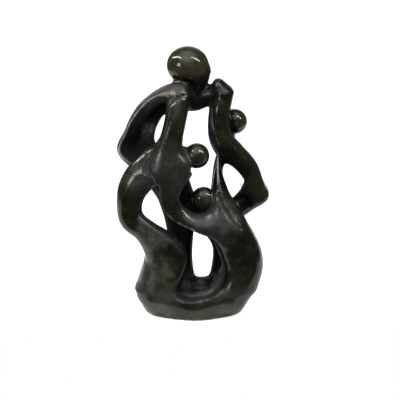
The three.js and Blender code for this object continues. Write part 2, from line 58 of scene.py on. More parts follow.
# The carved stone. Millimetres here, x to the right, y to the back and z up from the table, the same
# rows as the solid's, with three shallow creases more. A limb's row is x, y, z of a cross-section's
# middle, half width, half depth and squareness (2 is an ellipse, more is boxier). An opening's row is
# x, z at its mouth and at its end.
carving = {
    "low": [-124.0, -76.0, -6.3],  # the box that the stone is looked for in
    "high": [126.0, 76.0, 412.0],
    "spacing": 2.0,  # between points of the finished skin
    "quickSpacing": 3.0,
    "sections": 8,  # cross-sections that a limb gets between two rows
    "corners": 6,  # points that an opening's outline gets between two rows
    "reach": 30.0,  # beyond this distance a form has no say
    "leastHalf": 0.8,  # a limb's half sizes never fall below it
    "leastSlope": 0.5,  # slopes are held above this share of their usual size
    "smoothing": 3,  # rounds of hand smoothing
    "rub": 0.5,  # share of the way to its neighbours' mean that a point moves in a round
    "swellBack": 0.52,  # the same for the last round, outwards, so that the stone doesn't shrink
    "flatBelow": 0.25,  # points lower than this share of the spacing are on the underside
    "recess": [12.0, 29.0],  # how far off other stone is looked for, to tell a hollow from an open surface
    "bend": [0.22, 0.36],  # bending, in 1/mm, from which a rim counts as an edge and where it is at its full
    "wallFade": [0.3, 1.2],  # distances from an opening's outline over which its wall's painted shade and duller finish fade
    "headPolish": 5.0,  # distance over which the heads' brighter polish fades
    # the fold inside the left mass's bend is rubbed away: its middle, its reach and the rounds of rubbing
    "foldMiddle": [-72.0, -5.0, 84.0],
    "foldReach": [20.0, 70.0, 22.0],
    "foldRounds": 40,
    # how strongly each head is tinted lighter
    "headTint": {"parentHead": 1.0, "upperChildHead": 0.55, "lowerChildHead": 0.5, "outerChildHead": 1.0},
    "crease": 2,  # widths over which two forms run into each other, from the narrowest
    "fold": 6,
    "fillet": 10,
    "sweep": 14,
    "swell": 24,
    "flow": 30,
    "rim": 5,  # widths over which a cut's edge is rounded
    "softRim": 6,
    # length of a limb's rounded ends, as a share of its smaller half size there, where it isn't 1
    "ends": {"foot": 0.18, "leftMass": 0.7, "rightMass": 0.7, "leftArm": 0.4, "rightArm": 0.4},
}
tiny = 1e-12  # keeps a root or a quotient of nought within bounds

limbRows = {
    "torso": [
        [-15, -5, 343, 14, 15, 2.1],
        [-18, -17, 327, 17, 19, 2.2],
        [-23, -28, 298, 16, 19, 2.4],
        [-29, -34, 271, 17, 19, 2.4],
        [-33, -37, 250, 23, 21, 2.4],
        [-29, -38, 224, 33, 23, 2.4],
        [-31, -36, 201, 22, 22, 2.8],
        [-32, -34, 184, 18, 21, 2.8],
        [-30, -33, 170, 18, 21, 2.8],
        [-18, -33, 153, 20, 22, 2.3],
        [5, -35, 141, 20, 25, 1.9],
        [33, -34, 137, 27, 26, 1.9],
        [53, -29, 130, 28, 29, 2.2],
    ],
    "fin": [
        [39, -18, 248, 2, 5, 1.5],
        [39, -22, 222, 6, 13, 1.5],
        [40, -26, 200, 12, 19, 1.6],
        [42, -28, 180, 18, 25, 1.8],
        [49, -27, 150, 27, 30, 2],
    ],
    "rightMass": [
        [49, -24, 167, 16, 22, 2.3],
        [55, -20, 138, 25, 30, 2.6],
        [65, -14, 110, 32, 38, 2.8],
        [76, -8, 82, 32, 45, 2.8],
        [73, -5, 56, 30, 49, 2.7],
        [58, -3, 28, 28, 51, 2.3],
    ],
    "leftMass": [
        [-48, -26, 227, 33, 22, 2.3],
        [-69, -26, 211, 30, 24, 2.3],
        [-84, -24, 190, 26, 25, 2.4],
        [-90, -21, 166, 21, 25, 2.4],
        [-86, -20, 149, 21, 27, 2.4],
        [-69, -20, 135, 21, 30, 2.4],
        [-53, -17, 118, 26, 34, 2.6],
        [-38, -13, 97, 36, 40, 2.8],
        [-36, -9, 74, 37, 45, 2.7],
        [-46, -5, 50, 34, 49, 2.5],
        [-50, -3, 34, 33, 51, 2.3],
    ],
    "foot": [
        [11, 0, -12, 62, 56, 1.7],
        [9.5, 0, 0, 68, 60, 1.7],
        [6, 0, 12, 74, 62, 1.8],
        [4, 0, 22, 79, 61, 2],
        [4, 0, 31, 81, 57, 2.2],
    ],
    "frontLip": [
        [-45, -26, 24, 18, 28, 2.6],
        [-15, -33, 24, 16, 25, 2.6],
        [20, -33, 24, 16, 25, 2.6],
        [50, -25, 26, 18, 28, 2.6],
    ],
    "neck": [
        [10, 2, 365, 19.5, 25, 2],
        [10, 3, 354, 16, 22, 2],
        [7, 5, 341, 12, 18, 2],
        [5, 7, 318, 9, 14, 2],
    ],
    "yoke": [
        [-14, -8, 326, 17, 15, 2.2],
        [6, 4, 319.5, 12.5, 16, 2.4],
        [27, 3, 330, 15, 17, 2.4],
        [42, -3, 332, 15, 18, 2.2],
    ],
    "leftArm": [
        [-9, -6, 334, 20.5, 20, 2.4],
        [-27, 0, 330, 17, 29, 2.4],
        [-43, 6, 317, 21, 35, 2.4],
        [-58, 10, 300, 25, 38, 2.4],
        [-70, 12, 282, 25, 38, 2.4],
        [-75, 14, 264, 27, 36, 2.4],
        [-78, 15, 245, 31, 34, 2.4],
    ],
    "shoulder": [
        [-46, 1, 318, 14, 27, 2.2],
        [-30, -6, 327, 16, 25, 2.1],
        [-16, -12, 326, 15, 20, 2],
    ],
    "leftForearm": [
        [-80, 17, 249, 30, 27, 2.3],
        [-62, 26, 228, 28, 21, 2.2],
        [-37, 36, 192, 25, 16, 2.2],
    ],
    "rightArm": [
        [47.5, -5, 336, 15, 23, 2.2],
        [46, -5, 325, 15, 24, 2.3],
        [42.5, -6, 310, 16, 26, 2.2],
        [41, -6, 282, 16.5, 26, 2.2],
        [46, -6, 263, 18, 26, 2.2],
        [62, -3, 241, 20, 26, 2.2],
        [79, 1, 219, 21, 26, 2.2],
        [90, 4, 197, 18.5, 25, 2.4],
        [97, 7, 177, 16, 24, 2.8],
    ],
    "rightHand": [
        [40.5, -4, 346.5, 9.5, 19, 2],
        [49.5, -5, 337, 11, 22, 2.1],
    ],
    "rightForearm": [
        [95.5, 8, 180, 19, 24, 3.2],
        [82, 10, 169, 18, 22, 2.4],
        [52, 6, 147, 17, 18, 2.2],
    ],
    "childBody": [
        [57, 18, 264, 7, 12, 2.2],
        [53, 17, 245, 13, 13, 2.2],
        [42, 10, 219, 9, 12, 2.2],
        [43, 0, 177, 15, 18, 2.2],
    ],
    "backLeg": [
        [-37, 34, 203, 26, 15, 2.6],
        [-25, 39, 168, 25, 15, 2.6],
        [-18, 43, 133, 22, 14, 2.6],
        [-17, 44, 92, 18, 14, 2.6],
        [-18, 41, 52, 18, 17, 2.6],
        [-18, 36, 30, 20, 20, 2.6],
    ],
    "backStrut": [
        [-22, 36, 196, 15, 12, 2.6],
        [-7, 40, 164, 13, 12, 2.6],
        [28, 44, 120, 12, 11, 2.6],
        [46, 44, 92, 13, 12, 2.6],
        [47, 41, 54, 14, 15, 2.6],
        [45, 36, 33, 17, 18, 2.6],
    ],
    "backSill": [
        [-13, 40, 60, 12, 16, 2.4],
        [-5, 41, 32, 12, 17, 2.4],
        [15, 42, 23, 12, 17, 2.4],
        [38, 42, 32, 12, 16, 2.4],
        [48, 41, 60, 12, 15, 2.4],
    ],
    "upperChildNeck": [
        [-18, -30, 244, 16, 15, 2],
        [0, -20, 244, 12, 12, 2],
    ],
    "outerChildNeck": [
        [63, 18, 282, 8, 12, 2],
        [57, 15, 262, 5, 9, 2],
    ],
    "armHollow": [
        [21, -26, 333, 8, 14, 2.2],
        [18, -27, 312, 12, 19, 2.2],
        [19, -27, 292, 12, 20, 2.2],
        [27, -29, 270, 9, 17, 2.2],
        [37, -31, 253, 4, 9, 2],
    ],
    "chestCrease": [
        [-53, -50, 259, 1, 1.5, 2],
        [-62, -48.5, 246, 2.5, 3, 2],
        [-65, -50, 236, 3, 4, 2],
        [-64.5, -53, 226, 3, 4, 2],
        [-60, -56, 217, 2.5, 3, 2],
        [-54, -58, 207, 1, 1.5, 2],
    ],
    "shoulderCrease": [
        [-38, -33, 309, 0.8, 0.8, 2],
        [-32, -35, 320, 1.4, 1.8, 2],
        [-24, -36.5, 328, 1.4, 1.8, 2],
        [-15, -35, 333, 1, 1.4, 2],
        [-8, -32, 335, 0.8, 0.8, 2],
    ],
    "lapCrease": [
        [40, -50, 192, 1, 1, 2],
        [44, -53, 182, 1.5, 2, 2],
        [50, -55, 168, 2, 2.5, 2],
        [60, -56, 154, 2, 2.5, 2],
        [73, -52, 140, 1, 1, 2],
    ],
}

# centre and radii
headRows = {
    "parentHead": [[-5, 2, 374.5], [31, 29, 28.2]],
    "upperChildHead": [[8, -27, 244.4], [18.8, 18.8, 18.8]],
    "lowerChildHead": [[18, -32, 181], [17.7, 17.7, 17.7]],
    "outerChildHead": [[64.8, 18, 288], [18.9, 18.9, 18.9]],
}

# depth of the mouth, depth of the end, outline
openingRows = {
    "frontOpening": [-58, 30, [
        [-49, 206, -51, 187],
        [-66, 191, -69, 172],
        [-75, 172, -73, 155],
        [-72, 158, -70, 143],
        [-52, 143, -53, 129],
        [-25, 129, -35, 115],
        [-4, 111, -30, 92],
        [-2, 90, -30, 66],
        [-12, 66, -28, 46],
        [-22, 48, -24, 34],
        [-19, 34, -14, 28],
        [1, 30, 1, 26],
        [28, 36, 23, 28],
        [45, 51, 37, 37],
        [52, 76, 40, 58],
        [46, 99, 37, 84],
        [31, 124, 24, 111],
        [10, 134, 6, 119],
        [-17, 147, -17, 133],
        [-38, 163, -38, 151],
        [-46, 183, -46, 169],
    ]],
    "cradle": [-62, 24, [
        [1, 233, -5, 213],
        [3, 223, -3, 205],
        [-8, 209, -9, 192],
        [-19, 190, -16, 171],
        [-16, 179, -13, 160],
        [-8, 171, -5, 154],
        [13, 162, 13, 150],
        [28, 180, 26, 165],
        [32, 221, 33, 203],
        [38, 262, 39, 246],
        [20, 260, 21, 244],
    ]],
    "leftArmHollow": [-36, 22, [
        [-31, 328, -36, 311],
        [-46, 338, -46, 312],
        [-62, 335, -56, 304],
        [-84, 321, -64, 293],
        [-107, 298, -74, 274],
        [-123, 283, -79, 262],
        [-144, 270, -82, 252],
        [-148, 253, -82, 243],
        [-142, 233, -76, 236],
        [-122, 219, -66, 232],
        [-72, 222, -54, 238],
        [-47, 255, -40, 252],
        [-35, 295, -34, 285],
    ]],
    "leftArmWindow": [-60, 80, [
        [-37, 310, -40, 287],
        [-47, 298, -50, 274],
        [-52, 280, -56, 255],
        [-50, 268, -54, 244],
        [-40, 265, -43, 240],
        [-28, 290, -30, 266],
    ]],
    "rightArmWindow": [-10, 70, [
        [52, 230, 54, 214],
        [47, 216, 49, 199],
        [54, 192, 56, 175],
        [61, 178, 63, 160],
        [75, 195, 78, 177],
        [78, 206, 81, 190],
        [65, 223, 67, 207],
    ]],
}


# A smooth run through rows of numbers. Between rows b and c, with a before and d after, at t from 0 to 1:
# (2b + (c-a)t + (2a-5b+4c-d)t^2 + (3b-a-3c+d)t^3) / 2
def smoothRun(rows, steps, looped=False):
    rows = np.array(rows, float)
    if looped:
        whole = np.vstack([rows[-1:], rows, rows[:2]])
    else:
        whole = np.vstack([2 * rows[0] - rows[1], rows, 2 * rows[-1] - rows[-2]])
    a, b, c, d = (whole[i:len(whole) - 3 + i, None, :] for i in range(4))
    t = (np.arange(steps) / steps)[None, :, None]
    run = 0.5 * (2 * b + (c - a) * t + (2 * a - 5 * b + 4 * c - d) * t**2 + (3 * b - a - 3 * c + d) * t**3)
    run = run.reshape(-1, rows.shape[1])
    return run if looped else np.vstack([run, rows[-1:]])


# Each form is a function of points (n, 3) that gives the distance to its surface, negative inside it
# and never more than the reach.


# A limb: cross-sections carried along a smooth path. With u across and v deep, over the half width and
# half depth at the nearest place on the path, and w past its end over the end's length, the size is
# (u^n + v^n + w^n)^(1/n), and the distance is (size - 1) over the size's slope.
def limb(rows, endLength=1.0):
    run = smoothRun(rows, carving["sections"])
    centre = run[:, :3]
    along = np.gradient(centre, axis=0)
    across = np.cross(along, [0.0, 1.0, 0.0])
    across /= np.linalg.norm(across, axis=1)[:, None]
    deep = np.cross(across, along)
    deep /= np.linalg.norm(deep, axis=1)[:, None]
    stations = np.hstack([run, across, deep])
    room = run[:, 3:5].max(axis=1)[:, None] + carving["reach"]
    low, high = (centre - room).min(axis=0), (centre + room).max(axis=0)
    last = len(run) - 1

    def distance(points):
        result = np.full(len(points), carving["reach"])
        near = ((points > low) & (points < high)).all(axis=1)
        p = points[near]
        if not len(p):
            return result
        nearest = np.full(len(p), np.inf)
        segment = np.zeros(len(p), int)
        part = np.zeros(len(p))
        past = np.zeros(len(p))
        for i in range(last):
            edge = centre[i + 1] - centre[i]
            length = math.sqrt(edge @ edge)
            q = p - centre[i]
            free = q @ edge / length**2
            t = np.clip(free, 0, 1)
            gap = ((q - t[:, None] * edge)**2).sum(axis=1)
            closer = gap < nearest
            beyond = np.zeros(len(p))
            if i == 0:
                beyond += np.minimum(free, 0) * length
            if i == last - 1:
                beyond += np.maximum(free - 1, 0) * length
            nearest[closer] = gap[closer]
            segment[closer] = i
            part[closer] = t[closer]
            past[closer] = beyond[closer]
        row = stations[segment] + (stations[segment + 1] - stations[segment]) * part[:, None]
        q = p - row[:, :3]
        wide, thick = np.maximum(row[:, 3:5], carving["leastHalf"]).T
        power = row[:, 5]
        cap = endLength * np.minimum(wide, thick)
        u = np.abs((q * row[:, 6:9]).sum(axis=1)) / wide
        v = np.abs((q * row[:, 9:12]).sum(axis=1)) / thick
        w = np.abs(past) / cap
        size = (u**power + v**power + w**power + tiny)**(1 / power)
        slope = sum((share**(power - 1) / half)**2 for share, half in ((u, wide), (v, thick), (w, cap)))
        slope = np.sqrt(slope) * size**(1 - power)
        slope = np.maximum(slope, carving["leastSlope"] / np.maximum(wide, thick))
        result[near] = np.minimum((size - 1) / slope, carving["reach"])
        return result

    return distance


# A head: an ellipsoid, by the same rule as a limb's cross-section.
def ball(centre, radii):
    centre, radii = np.array(centre, float), np.array(radii, float)

    def distance(points):
        q = points - centre
        size = np.sqrt(((q / radii)**2).sum(axis=1) + tiny)
        slope = np.sqrt(((q / radii**2)**2).sum(axis=1)) / size
        slope = np.maximum(slope, carving["leastSlope"] / radii.max())
        return np.minimum((size - 1) / slope, carving["reach"])

    return distance


# An opening: an outline that turns evenly into another from the mouth to the end. The distance is that
# to the outline at the point's own depth, negative inside it.
def opening(mouth, end, rows):
    run = smoothRun(rows, carving["corners"], looped=True)
    front, back = run[:, :2], run[:, 2:]
    low = np.minimum(front.min(axis=0), back.min(axis=0)) - carving["reach"]
    high = np.maximum(front.max(axis=0), back.max(axis=0)) + carving["reach"]

    def distance(points):
        result = np.full(len(points), carving["reach"])
        flat = points[:, ::2]
        near = ((flat > low) & (flat < high)).all(axis=1) & (points[:, 1] < end + carving["reach"])
        x, y, z = points[near].T
        if not len(x):
            return result
        t = np.clip((y - mouth) / (end - mouth), 0, 1)
        nearest = np.full(len(x), np.inf)
        inside = np.zeros(len(x), bool)
        ax, az = front[-1][:, None] + t * (back[-1] - front[-1])[:, None]
        for start, stop in zip(front, back):
            bx, bz = start[:, None] + t * (stop - start)[:, None]
            ex, ez, qx, qz = bx - ax, bz - az, x - ax, z - az
            s = np.clip((qx * ex + qz * ez) / (ex**2 + ez**2 + tiny), 0, 1)
            nearest = np.minimum(nearest, (qx - s * ex)**2 + (qz - s * ez)**2)
            rise = np.where(np.abs(ez) < tiny, tiny, ez)
            inside ^= ((az > z) != (bz > z)) & (x < ax + qz * ex / rise)
            ax, az = bx, bz
        wall = np.sqrt(nearest) * np.where(inside, -1, 1)
        result[near] = np.minimum(np.maximum(wall, y - end), carving["reach"])
        return result

    return distance


# Two forms joined, or one cut by the other: the smaller distance, less h^3 width / 6, where h is how far
# the two are from differing by the width, as a share of it.
def join(a, b, width):
    overlap = np.maximum(width - np.abs(a - b), 0) / width
    return np.minimum(a, b) - overlap**3 * width / 6


def cut(a, b, width):
    return -join(-a, b, width)


forms = {name: limb(rows, carving["ends"].get(name, 1.0)) for name, rows in limbRows.items()}
forms.update({name: ball(*row) for name, row in headRows.items()})
forms.update({name: opening(*row) for name, row in openingRows.items()})


# The whole carving at some points.
def stone(points):
    def at(name):
        return forms[name](points)

    c = carving
    body = join(at("torso"), at("leftMass"), c["flow"])
    body = join(body, join(at("rightMass"), at("fin"), c["fillet"]), c["swell"])
    body = join(body, join(at("foot"), at("frontLip"), c["fillet"]), c["swell"])
    body = cut(body, at("frontOpening"), c["rim"])
    body = cut(body, at("cradle"), c["rim"])

    arms = join(at("leftArm"), at("leftForearm"), c["sweep"])
    arms = join(arms, at("shoulder"), c["sweep"])
    arms = join(arms, at("yoke"), c["fillet"])
    arms = cut(arms, at("leftArmHollow"), c["rim"])
    arms = join(arms, at("neck"), c["fillet"])
    arms = join(arms, at("parentHead"), c["fold"])
    rightArm = join(join(at("rightArm"), at("rightHand"), c["fillet"]), at("rightForearm"), c["fillet"])
    arms = join(arms, cut(rightArm, at("armHollow"), c["softRim"]), c["fold"])
    arms = join(arms, at("childBody"), c["fillet"])

    back = join(join(at("backLeg"), at("backStrut"), c["sweep"]), at("backSill"), c["fillet"])
    arms = join(arms, back, c["sweep"])
    body = join(body, back, c["sweep"])
    arms = cut(arms, at("leftArmWindow"), c["sweep"])
    arms = cut(arms, at("rightArmWindow"), c["softRim"])

    whole = join(body, arms, c["fold"])
    # too shallow for the solid
    for crease in ("chestCrease", "shoulderCrease", "lapCrease"):
        whole = cut(whole, at(crease), c["softRim"])
    whole = join(whole, at("upperChildNeck"), c["fold"])
    whole = join(whole, at("upperChildHead"), c["crease"])
    whole = join(whole, at("lowerChildHead"), c["crease"])
    whole = join(whole, at("outerChildNeck"), c["fold"])
    whole = join(whole, at("outerChildHead"), c["crease"])
    return np.maximum(whole, -points[:, 2])


def inBlocks(form, points, block=20000):
    return np.concatenate([form(points[i:i + block]) for i in range(0, len(points), block)])


# The same values on a grid twice as fine: each new point is the middle of its neighbours.
def twiceAsFine(values):
    for axis in range(3):
        values = np.moveaxis(values, axis, 0)
        finer = np.empty((2 * len(values) - 1,) + values.shape[1:])
        finer[::2] = values
        finer[1::2] = (values[:-1] + values[1:]) / 2
        values = np.moveaxis(finer, 0, axis)
    return np.ascontiguousarray(values)


# A form's distance on a grid, worked out afresh only within so many steps of its surface, first widely
# spaced, then finer.
def gridOf(form, low, high, spacing, halvings=2, within=1.3):
    step = spacing * 2**halvings
    counts = np.ceil((high - low) / step).astype(int) + 1
    places = np.stack(np.meshgrid(*(np.arange(n) for n in counts), indexing="ij"), axis=-1).reshape(-1, 3)
    values = inBlocks(form, low + places * step).reshape(counts)
    for halving in range(halvings):
        near = within * step
        values = twiceAsFine(values)
        step /= 2
        close = np.abs(values) < near
        values[close] = inBlocks(form, low + np.argwhere(close) * step)
    return values


# Four grid points of a square that lie in and out by turns would pinch the skin, and so would two inner
# or outer points across a cube with none beside them. Stone is put in at one of them.
def unpinch(values, trace=1e-3, attempts=12):
    for attempt in range(attempts):
        found = 0
        for axis in range(3):
            u, v = np.eye(3, dtype=int)[[(axis + 1) % 3, (axis + 2) % 3]]
            shape = np.array(values.shape) - u - v
            square = (0 * u, u, u + v, v)
            corners = [tuple(slice(o, o + n) for o, n in zip(offset, shape)) for offset in square]
            a, b, c, d = (values[corner] < 0 for corner in corners)
            pinched = np.argwhere((a == c) & (b == d) & (a != b))
            found += len(pinched)
            for offset in square:
                spot = tuple((pinched + offset).T)
                values[spot] = np.where(values[spot] >= 0, -trace, values[spot])
        if not found:
            break
    return values


# The skin where the grid's values are nought: one point in each cube that it passes through, the mean of
# where it crosses the cube's edges, and one four-sided face round each grid edge that it crosses.
def skinOf(values, low, spacing):
    inside = values < 0
    corners = np.array([[i, j, k] for i in (0, 1) for j in (0, 1) for k in (0, 1)])
    size = np.array(values.shape) - 1
    count = sum(inside[tuple(slice(o, o + n) for o, n in zip(c, size))].astype(int) for c in corners)
    crossed = (count > 0) & (count < 8)
    cubes = np.argwhere(crossed)
    total = np.zeros((len(cubes), 3))
    hits = np.zeros(len(cubes))
    for axis in range(3):
        unit = np.eye(3, dtype=int)[axis]
        for corner in corners[corners[:, axis] == 0]:
            start = cubes + corner
            a, b = values[tuple(start.T)], values[tuple((start + unit).T)]
            crosses = (a < 0) != (b < 0)
            t = np.where(crosses, a / np.where(crosses, a - b, 1), 0)
            total += np.where(crosses[:, None], start + t[:, None] * unit, 0)
            hits += crosses
    points = low + spacing * total / hits[:, None]
    number = np.full(crossed.shape, -1)
    number[crossed] = np.arange(len(cubes))
    faces = []
    for axis in range(3):
        unit, u, v = np.eye(3, dtype=int)[[axis, (axis + 1) % 3, (axis + 2) % 3]]
        shape = np.array(values.shape) - unit
        first, second = (inside[tuple(slice(o, o + n) for o, n in zip(c, shape))] for c in (0 * unit, unit))
        edges = np.argwhere(first != second)
        ring = [number[tuple((edges - offset).T)] for offset in (u + v, v, 0 * u, u)]
        quads = np.stack(ring, axis=1)
        outward = first[tuple(edges.T)]
        faces.append(np.where(outward[:, None], quads, quads[:, ::-1]))
    return points, np.vstack(faces)


# The mean of each point's neighbours along the faces' edges.
def neighbourMean(points, faces):
    pairs = np.vstack([faces[:, [i, (i + 1) % 4]] for i in range(4)])
    pairs = np.vstack([pairs, pairs[:, ::-1]])
    share = np.bincount(pairs[:, 0], minlength=len(points))
    total = [np.bincount(pairs[:, 0], points[pairs[:, 1], k], len(points)) for k in range(points.shape[1])]
    return np.stack(total, axis=1) / share[:, None]


# A form's distance, its uphill direction and its steepness, from four points close round each point.
def slopeOf(form, points, offset=0.4):
    ways = np.array([[1, -1, -1], [-1, -1, 1], [-1, 1, -1], [1, 1, 1]])
    values = [inBlocks(form, points + way * offset) for way in ways]
    slope = sum(value[:, None] * way for value, way in zip(values, ways)) / (4 * offset)
    size = np.linalg.norm(slope, axis=1)[:, None]
    return sum(values)[:, None] / 4, slope / np.maximum(size, tiny), size


# How strongly the skin bends outwards at each point: the points' mean sideways step to their neighbours'
# mean, along the way out, over a quarter of the mean square length of the edges.
def edgeOf(points, faces, way):
    sides = np.linalg.norm(points[faces] - points[np.roll(faces, 1, axis=1)], axis=2)
    step = ((points - neighbourMean(points, faces)) * way).sum(axis=1)
    bend = step / (0.25 * (sides**2).mean())
    low, high = carving["bend"]
    return np.clip((bend - low) / (high - low), 0, 1)


# The carving's points, its faces and its marks: how hollow its surroundings are, how near an opening's
# wall is, how sharp a rim is and how strongly a head is tinted. The material paints shade into the
# hollows and walls and a pale highlight onto the sharp rims. The skin is smoothed, moved back to the
# stone's surface along its slope, and smoothed lightly once more.
def carve(spacing):
    low, high = np.array(carving["low"]), np.array(carving["high"])
    rub = carving["rub"]
    values = unpinch(gridOf(stone, low, high, spacing))
    print("grid worked out", values.shape)
    points, faces = skinOf(values, low, spacing)
    flat = points[:, 2] < carving["flatBelow"] * spacing
    for attempt in range(carving["smoothing"]):
        points += rub * (neighbourMean(points, faces) - points)
        points[flat, 2] = 0
    value, way, size = slopeOf(stone, points)
    move = np.clip(value / np.maximum(size, carving["leastSlope"]), -spacing / 2, spacing / 2) * way
    move[flat] = 0
    points -= move
    smooth = points + rub * (neighbourMean(points, faces) - points)
    smooth -= carving["swellBack"] * (neighbourMean(smooth, faces) - smooth)
    smooth[flat, 2] = 0
    # the fold's rubbing is full within half its reach and fades out at the reach
    away = np.abs((smooth - carving["foldMiddle"]) / carving["foldReach"]).max(axis=1)
    rubbed = rub * np.clip(2 - 2 * away, 0, 1)[:, None]
    for attempt in range(carving["foldRounds"]):
        smooth += rubbed * (neighbourMean(smooth, faces) - smooth)
    print("skin", len(smooth), "points", len(faces), "faces")
    hollow = np.mean([1 - np.clip(inBlocks(stone, smooth + way * depth) / depth, 0, 1)
                      for depth in carving["recess"]], axis=0)
    ridge = edgeOf(smooth, faces, way)
    near, far = carving["wallFade"]
    wall = np.max([np.clip((far - np.abs(inBlocks(forms[name], smooth))) / (far - near), 0, 1)
                   for name in openingRows if "Window" not in name], axis=0)
    head = np.max([headTint * (1 - np.clip(inBlocks(forms[name], smooth) / carving["headPolish"], 0, 1))
                   for name, headTint in carving["headTint"].items()], axis=0)
    return smooth, faces, {"hollow": hollow, "wall": wall, "ridge": ridge, "head": head}


def meshPiece(name, points, faces, marks):
    mesh = bpy.data.meshes.new(name)
    mesh.from_pydata(points, [], faces)
    mesh.polygons.foreach_set("use_smooth", np.ones(len(faces), bool))
    for mark, values in marks.items():
        mesh.attributes.new(mark, "FLOAT", "POINT").data.foreach_set("value", values.astype(np.float32))
    mesh.update()
    piece = bpy.data.objects.new(name, mesh)
    bpy.context.scene.collection.objects.link(piece)
    return piece


points, faces, marks = carve(carving["spacing"])
asLaid = points.min(axis=0), points.max(axis=0)
fit = (cadHigh - cadLow) / (asLaid[1] - asLaid[0])
points = cadLow + (points - asLaid[0]) * fit
sculpture = meshPiece("familyCarving", points, faces, marks)
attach(sculpture, "root")
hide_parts("family_carving")
print("carving fitted, scale", (fit * 1000).round(4))


# Materials. A node's inputs are given either plain values or other nodes' outputs.
def feed(tree, sockets, values):
    for socket, value in zip(sockets, values):
        if isinstance(value, bpy.types.NodeSocket):
            tree.links.new(value, socket)
        else:
            socket.default_value = value


def addNode(tree, kind, inputs=None, **settings):
    made = tree.nodes.new(kind)
    for setting, value in settings.items():
        setattr(made, setting, value)
    given = inputs or {}
    feed(tree, [made.inputs[label] for label in given], given.values())
    return made


def newGroup(name, inputs, outputs):
    group = bpy.data.node_groups.new(name, "ShaderNodeTree")
    for label, kind, value in inputs:
        socket = group.interface.new_socket(name=label, in_out="INPUT", socket_type=kind)
        if value is not None:
            socket.default_value = value
    for label, kind in outputs:
        group.interface.new_socket(name=label, in_out="OUTPUT", socket_type=kind)
    return group, group.nodes.new("NodeGroupInput").outputs, group.nodes.new("NodeGroupOutput").inputs


def useGroup(tree, group, inputs):
    return addNode(tree, "ShaderNodeGroup", inputs, node_tree=group).outputs


def mapRange(tree, value, fromLow, fromHigh, toLow=0.0, toHigh=1.0, way="SMOOTHSTEP"):
    made = addNode(tree, "ShaderNodeMapRange", interpolation_type=way)
    feed(tree, made.inputs[:5], (value, fromLow, fromHigh, toLow, toHigh))
    return made.outputs["Result"]


def maths(tree, operation, a, b):
    return addNode(tree, "ShaderNodeMath", {0: a, 1: b}, operation=operation).outputs[0]


# Colours are the mixing node's sockets 6 and 7, and its output 2
def mixColour(tree, share, a, b):
    return addNode(tree, "ShaderNodeMix", {0: share, 6: a, 7: b}, data_type="RGBA").outputs[2]


# The effects that both stone materials share. A range is what a noise's value runs over as its mask goes
# from the first end to the other.
effects = {
    "cloudRange": (0.38, 0.64),
    "patchRange": (0.40, 0.66),
    "bedScale": (1.0, 1.0, 0.7),  # flecks are drawn out up the stone's bed
    "fleckRange": (0.50, 0.66),
    "darkFleckRange": (0.15, 0.5),
    "smearRange": (0.35, 0.7),
    "scratchTurn": (0.5, 0.3, 0.7),
    "scratchStretch": (1.0, 9.0, 1.6),
    "scratchShare": 0.05,  # of the height of the waves
    "spotRange": (1.0, 0.35),  # shares of its reach over which a spot comes up
}


# Soft clouds in the stone, with smaller patches inside them
def makeClouds():
    group, given, out = newGroup(
        "stoneClouds",
        [("Place", "NodeSocketVector", None), ("Cloud Scale", "NodeSocketFloat", 14.0),
         ("Patch Scale", "NodeSocketFloat", 70.0)],
        [("Cloud", "NodeSocketFloat"), ("Patch", "NodeSocketFloat")])
    cloud = addNode(group, "ShaderNodeTexNoise", {
        "Vector": given["Place"], "Scale": given["Cloud Scale"], "Detail": 3.0, "Roughness": 0.55,
        "Distortion": 0.6})
    patch = addNode(group, "ShaderNodeTexNoise", {
        "Vector": given["Place"], "Scale": given["Patch Scale"], "Detail": 4.0, "Roughness": 0.6})
    group.links.new(mapRange(group, cloud.outputs[0], *effects["cloudRange"]), out["Cloud"])
    group.links.new(mapRange(group, patch.outputs[0], *effects["patchRange"]), out["Patch"])
    return group


# Small crystals: light and dark specks of a millimetre or two
def makeFlecks():
    group, given, out = newGroup(
        "stoneFlecks",
        [("Place", "NodeSocketVector", None), ("Fleck Scale", "NodeSocketFloat", 600.0)],
        [("Fleck", "NodeSocketFloat"), ("Dark Fleck", "NodeSocketFloat")])
    bed = addNode(group, "ShaderNodeMapping", {"Vector": given["Place"], "Scale": effects["bedScale"]})
    grain = addNode(group, "ShaderNodeTexNoise", {
        "Vector": bed.outputs[0], "Scale": given["Fleck Scale"], "Detail": 2.0, "Roughness": 0.7})
    crystal = addNode(group, "ShaderNodeTexVoronoi", {
        "Vector": bed.outputs[0], "Scale": given["Fleck Scale"]}, feature="F1")
    group.links.new(mapRange(group, grain.outputs[0], *effects["fleckRange"]), out["Fleck"])
    dark = mapRange(group, crystal.outputs["Distance"], *effects["darkFleckRange"], 1.0, 0.0)
    group.links.new(dark, out["Dark Fleck"])
    return group


# The hand-rubbed surface: slow waves left by the rubbing, and fine scratches that run aslant
def makeRubbing():
    group, given, out = newGroup(
        "handRubbing",
        [("Place", "NodeSocketVector", None), ("Smooth", "NodeSocketFloat", 0.13),
         ("Dull", "NodeSocketFloat", 0.26)],
        [("Roughness", "NodeSocketFloat"), ("Height", "NodeSocketFloat")])
    wave = addNode(group, "ShaderNodeTexNoise", {"Vector": given["Place"], "Scale": 45.0, "Detail": 2.0})
    smear = addNode(group, "ShaderNodeTexNoise", {"Vector": given["Place"], "Scale": 110.0, "Detail": 3.0})
    scratchPlace = addNode(group, "ShaderNodeMapping", {
        "Vector": given["Place"], "Rotation": effects["scratchTurn"], "Scale": effects["scratchStretch"]})
    scratch = addNode(group, "ShaderNodeTexNoise", {
        "Vector": scratchPlace.outputs[0], "Scale": 260.0, "Detail": 2.0, "Roughness": 0.6})
    rough = mapRange(group, smear.outputs[0], *effects["smearRange"], given["Smooth"], given["Dull"])
    group.links.new(rough, out["Roughness"])
    fine = maths(group, "MULTIPLY", scratch.outputs[0], effects["scratchShare"])
    group.links.new(maths(group, "ADD", wave.outputs[0], fine), out["Height"])
    return group


